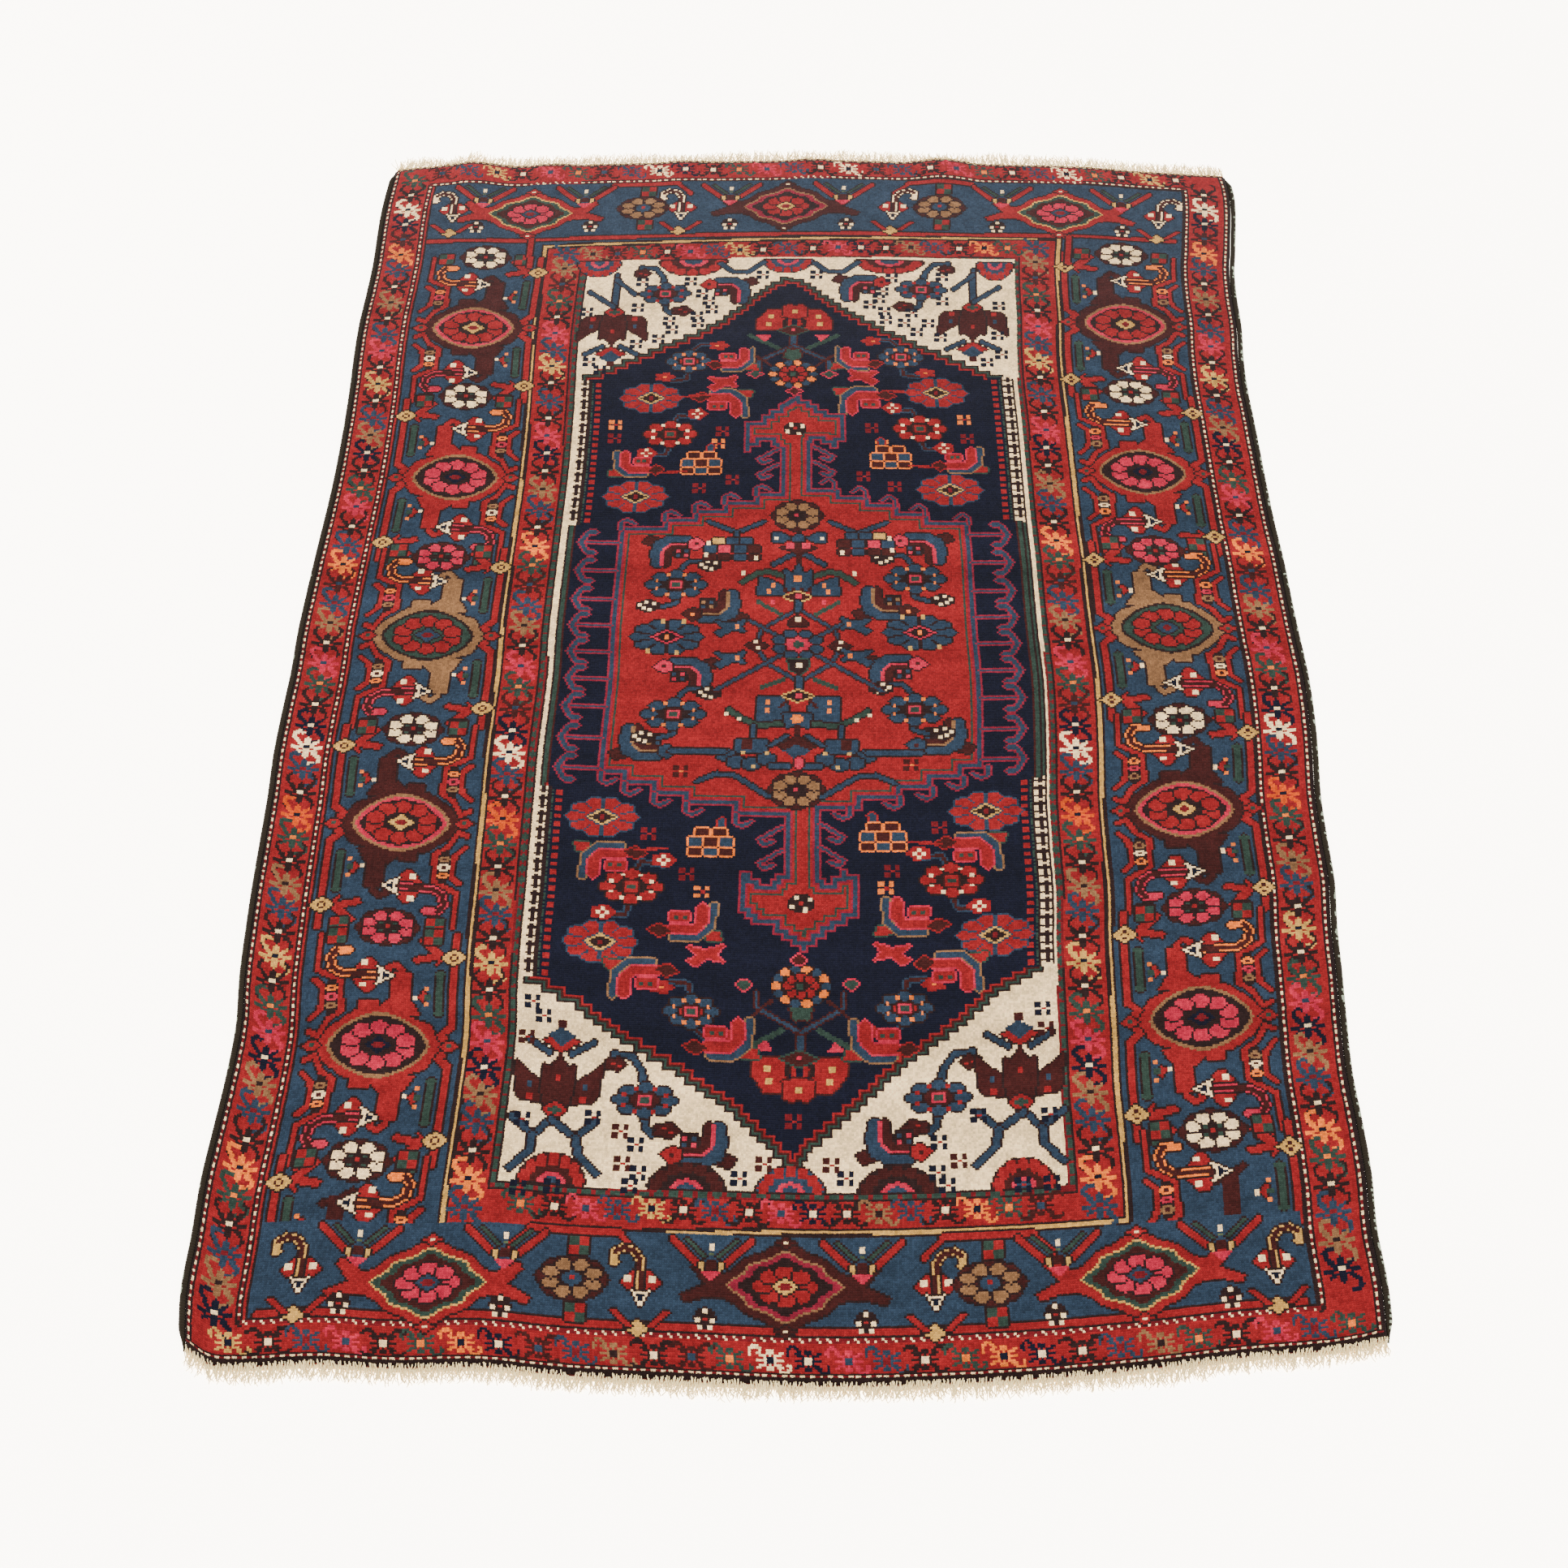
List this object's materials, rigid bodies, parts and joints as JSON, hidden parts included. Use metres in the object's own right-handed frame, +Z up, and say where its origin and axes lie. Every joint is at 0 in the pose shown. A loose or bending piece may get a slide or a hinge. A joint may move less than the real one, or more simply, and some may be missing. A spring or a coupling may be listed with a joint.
{
  "type": "oriental rug",
  "caption": "Flat hand-knotted pile rug with overcast side cords, short cotton fringe at both ends, low ripples at the far end and a slightly uneven outline.",
  "frame": {"origin": "centre of the rug's bounding box, on the floor under the rug", "axes": "+Y along the rug's length towards the rippled far end, +X towards its right side seen from the near end, +Z up out of the floor"},
  "size_m": [1.3276, 2.0986, 0.0167],
  "materials": {
    "pile_wool": "low knotted wool pile, dyed red, blue, navy, ivory, green and camel, matt with a slight sheen",
    "cord_wool": "dark brown wool overcast round the side cords, worn paler on the rim",
    "warp_cotton": "undyed cream cotton warp ends, matt"
  },
  "bodies": {
    "root": {"pile_body": "pile_wool", "selvedge_left": "cord_wool", "selvedge_right": "cord_wool", "fringe_near": "warp_cotton", "fringe_far": "warp_cotton"}
  },
  "joints": []
}
